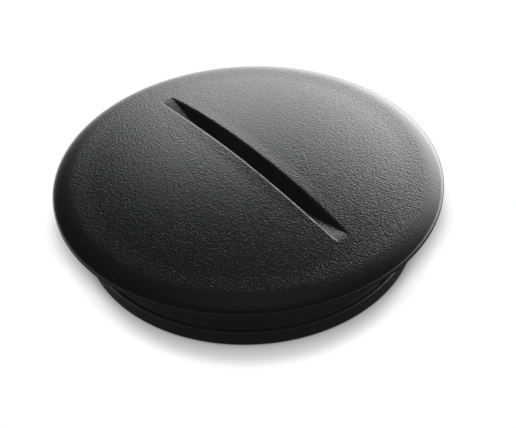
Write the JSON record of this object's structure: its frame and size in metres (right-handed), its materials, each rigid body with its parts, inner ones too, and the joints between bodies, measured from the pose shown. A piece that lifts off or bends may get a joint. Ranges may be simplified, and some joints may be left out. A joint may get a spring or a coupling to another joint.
{
  "type": "slotted blanking plug",
  "caption": "Round snap-in blanking plug with a shallow domed head, a coin slot across it and a short hollow spigot that closes a hole in a panel.",
  "frame": {"origin": "centre of the spigot's open end, on the surface that the plug stands on", "axes": "+Z along the plug's axis, out through the crown of the head; +X along the coin slot"},
  "size_m": [0.04, 0.04, 0.0094],
  "materials": {
    "black_plastic": "fine spark-eroded grain on the head, satin on the rim edge and spigot"
  },
  "bodies": {
    "root": {"blanking_plug": "black_plastic"}
  },
  "joints": []
}
